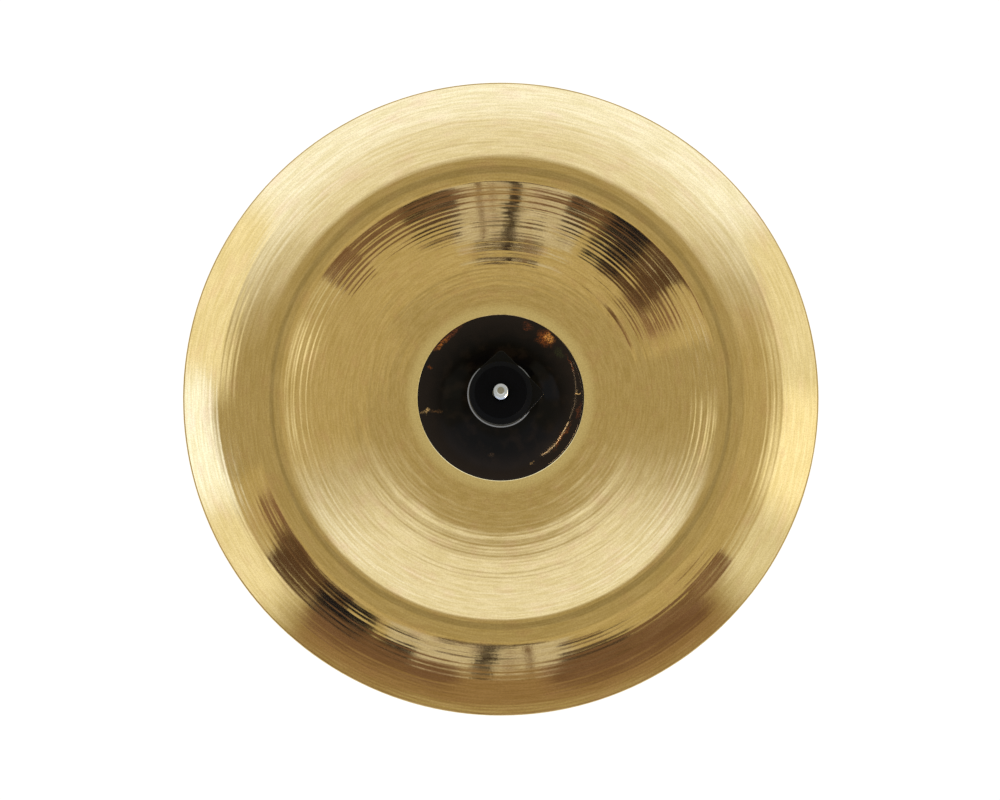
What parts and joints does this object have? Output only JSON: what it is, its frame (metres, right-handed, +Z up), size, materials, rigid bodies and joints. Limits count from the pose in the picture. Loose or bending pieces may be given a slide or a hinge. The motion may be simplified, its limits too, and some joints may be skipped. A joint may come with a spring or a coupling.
{
  "type": "china cymbal",
  "caption": "China cymbal with domed bell and upturned flange, held between felts by a quick-release nut on a threaded rod with a tilting head and stem.",
  "frame": {"origin": "centre of the stem's foot, the end that goes down into a stand's tube", "axes": "+Z up along the stem and the rod, +X along the tilt bolt towards the wing nut, +Y to the back of the picture's view"},
  "size_m": [0.3556, 0.3556, 0.1691],
  "materials": {
    "bronze": "lathed and polished bell bronze, bare and dark on the bell",
    "steel": "bright zinc-plated steel",
    "chrome": "polished chrome plating",
    "black_plastic": "satin black moulded plastic",
    "white_nylon": "natural moulded nylon",
    "fibre": "pressed friction fibre",
    "felt": "pressed grey wool felt"
  },
  "bodies": {
    "stand_base": {"stem": "chrome", "stem_pin": "steel", "tilter_base": "chrome", "friction_disc_left": "fibre", "friction_disc_right": "fibre", "tilt_bolt": "steel", "wing_washer": "steel"},
    "tilting_rod": {"tilter_head": "chrome", "threaded_rod": "steel", "rod_lock_nut": "steel", "seat_washer": "chrome"},
    "wing_nut_body": {"wing_nut": "chrome"},
    "felt_stack": {"cymbal_sleeve": "white_nylon", "lower_felt": "felt", "upper_felt": "felt"},
    "cymbal": {"cymbal_plate": "bronze"},
    "release_nut": {"nut_skirt": "black_plastic", "nut_cap": "black_plastic", "nut_screw_1": "steel", "nut_screw_2": "steel", "slide_spring": "steel"},
    "release_slide": {"push_slide": "black_plastic", "half_nut": "steel"}
  },
  "joints": [
    {"name": "tilt", "type": "hinge", "parent": "stand_base", "child": "tilting_rod", "pos_m": [0, 0, 0.0945], "axis": [1, 0, 0], "range_deg": [-75, 75]},
    {"name": "wing_nut_turn", "type": "hinge", "parent": "stand_base", "child": "wing_nut_body", "pos_m": [0.019, 0, 0.0945], "axis": [1, 0, 0], "continuous": true},
    {"name": "cymbal_spin", "type": "hinge", "parent": "tilting_rod", "child": "felt_stack", "pos_m": [0, 0, 0.13745], "axis": [0, 0, 1], "continuous": true},
    {"name": "cymbal_sway", "type": "hinge", "parent": "felt_stack", "child": "cymbal", "pos_m": [0, 0, 0.13745], "axis": [1, 0, 0], "range_deg": [-10, 10], "deforming": ["upper_felt", "lower_felt"]},
    {"name": "nut_lift", "type": "slide", "parent": "tilting_rod", "child": "release_nut", "axis": [0, 0, 1], "range_m": [0, 0.03]},
    {"name": "slide_push", "type": "slide", "parent": "release_nut", "child": "release_slide", "axis": [-0.7133, -0.7009, 0], "range_m": [0, 0.0025], "stiffness_N_per_m": 1500, "springref_m": -0.001, "deforming": ["slide_spring"]}
  ]
}
